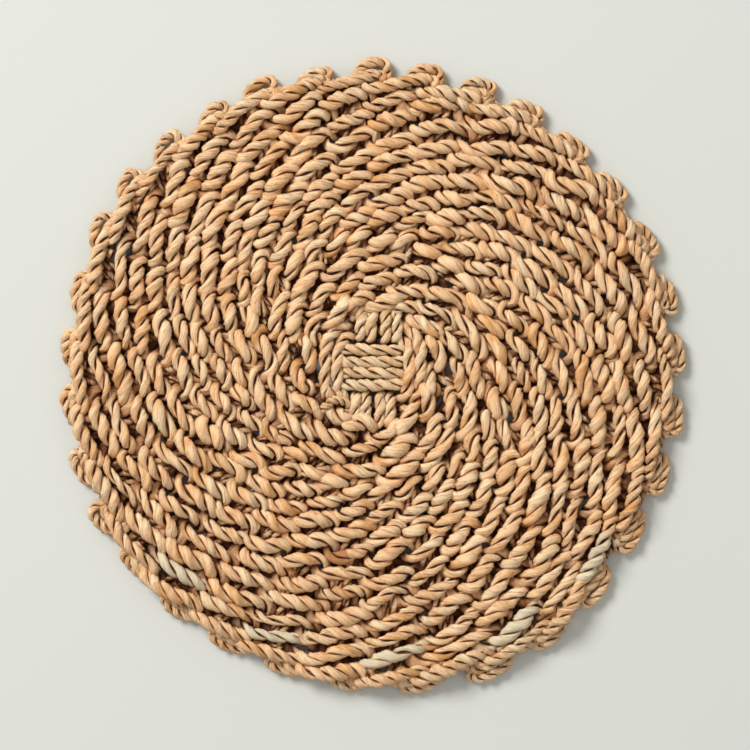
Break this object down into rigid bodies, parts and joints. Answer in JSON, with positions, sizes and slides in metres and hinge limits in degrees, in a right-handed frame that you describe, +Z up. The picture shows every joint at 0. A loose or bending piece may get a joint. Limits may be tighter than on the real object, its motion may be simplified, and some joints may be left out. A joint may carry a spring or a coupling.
{
  "type": "woven charger plate",
  "caption": "Round flat table mat twined from two-ply straw rope, with a crossed centre and a rim of small rope loops",
  "frame": {"origin": "middle of the mat, on the surface that it lies on", "axes": "+Z up through the mat, +Y towards the top of the mat as pictured, +X to its right"},
  "size_m": [0.3766, 0.383, 0.0138],
  "materials": {
    "woven_straw": "matt",
    "centre_straw": "matt",
    "cross_straw": "matt",
    "border_straw": "matt"
  },
  "bodies": {
    "root": {"woven_body": "woven_straw", "centre_rope_across_1": "centre_straw", "centre_rope_across_2": "centre_straw", "centre_rope_across_3": "centre_straw", "centre_rope_across_4": "centre_straw", "centre_rope_down_1": "cross_straw", "centre_rope_down_2": "cross_straw", "centre_rope_down_3": "cross_straw", "centre_rope_down_4": "cross_straw", "border_loop_01": "border_straw", "border_loop_02": "border_straw", "border_loop_03": "border_straw", "border_loop_04": "border_straw", "border_loop_05": "border_straw", "border_loop_06": "border_straw", "border_loop_07": "border_straw", "border_loop_08": "border_straw", "border_loop_09": "border_straw", "border_loop_10": "border_straw", "border_loop_11": "border_straw", "border_loop_12": "border_straw", "border_loop_13": "border_straw", "border_loop_14": "border_straw", "border_loop_15": "border_straw", "border_loop_16": "border_straw", "border_loop_17": "border_straw", "border_loop_18": "border_straw", "border_loop_19": "border_straw", "border_loop_20": "border_straw", "border_loop_21": "border_straw", "border_loop_22": "border_straw", "border_loop_23": "border_straw", "border_loop_24": "border_straw", "border_loop_25": "border_straw", "border_loop_26": "border_straw", "border_loop_27": "border_straw", "border_loop_28": "border_straw", "border_loop_29": "border_straw", "border_loop_30": "border_straw", "border_loop_31": "border_straw", "border_loop_32": "border_straw"}
  },
  "joints": []
}
